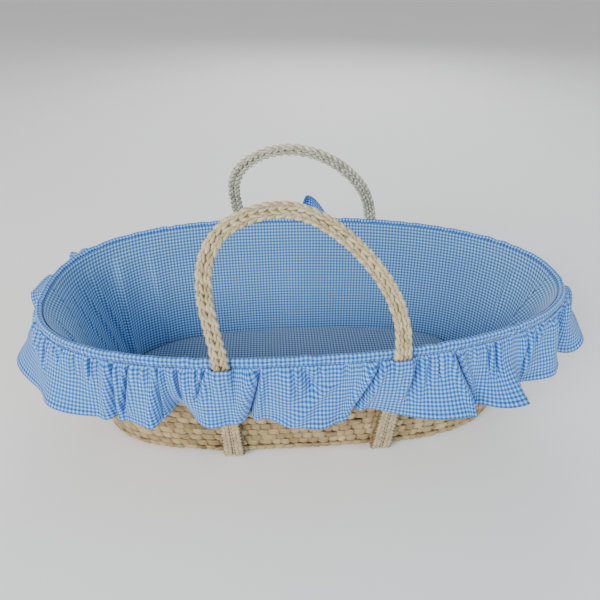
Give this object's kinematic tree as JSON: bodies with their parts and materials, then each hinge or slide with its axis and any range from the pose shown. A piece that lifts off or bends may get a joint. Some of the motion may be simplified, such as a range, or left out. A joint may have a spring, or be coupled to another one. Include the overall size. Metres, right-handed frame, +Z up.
{
  "type": "moses basket",
  "caption": "Oval woven carrying basket for a baby, with braided rope handles, rope straps underneath, a checked fabric liner with a gathered frill, and a loose mattress.",
  "frame": {"origin": "on the floor, under the middle of the basket's box", "axes": "+X along the basket's length, +Y across it towards the back handle, +Z up"},
  "size_m": [0.939, 0.4786, 0.4748],
  "materials": {
    "husk_weave": "dry woven husk, matt with a slight sheen",
    "stake_wood": "raw split stem",
    "handle_rope": "braided husk rope, slight sheen",
    "strap_rope": "braided husk rope, matt",
    "sewing_cord": "thin twisted cord",
    "gingham_liner": "light blue and white checked cotton",
    "gingham_trim": "light blue and white checked cotton",
    "wadding": "white polyester wadding",
    "foam": "soft open foam",
    "elastic": "woven elastic"
  },
  "bodies": {
    "root": {"woven_base": "husk_weave", "side_weave": "husk_weave", "side_stakes": "stake_wood", "rim_border": "husk_weave", "strap_left_outer_rope": "strap_rope", "strap_left_inner_rope": "strap_rope", "strap_left_seam_cord": "sewing_cord", "strap_right_outer_rope": "strap_rope", "strap_right_inner_rope": "strap_rope", "strap_right_seam_cord": "sewing_cord", "strap_ties": "sewing_cord", "liner_side_panel": "gingham_liner", "liner_wadding": "wadding", "liner_floor": "gingham_liner", "rim_band": "gingham_trim", "rim_elastic": "elastic", "ruffle": "gingham_trim", "ruffle_hem": "gingham_trim"},
    "handle_front": {"handle_front_outer_rope": "handle_rope", "handle_front_inner_rope": "handle_rope", "handle_front_seam_cord": "sewing_cord"},
    "handle_back": {"handle_back_outer_rope": "handle_rope", "handle_back_inner_rope": "handle_rope", "handle_back_seam_cord": "sewing_cord"},
    "mattress": {"mattress_core": "foam", "mattress_sheet": "gingham_liner"}
  },
  "joints": [
    {"name": "handle_front_swing", "type": "hinge", "parent": "root", "child": "handle_front", "pos_m": [-0.13095, -0.20976, 0.292], "axis": [0.9996, 0.0265, 0], "range_deg": [-34, 158]},
    {"name": "handle_back_swing", "type": "hinge", "parent": "root", "child": "handle_back", "pos_m": [-0.12191, 0.21023, 0.292], "axis": [-0.9992, 0.0393, 0], "range_deg": [-30, 162]},
    {"name": "mattress_lift", "type": "slide", "parent": "root", "child": "mattress", "axis": [0, 0, 1], "range_m": [0, 0.26]}
  ]
}
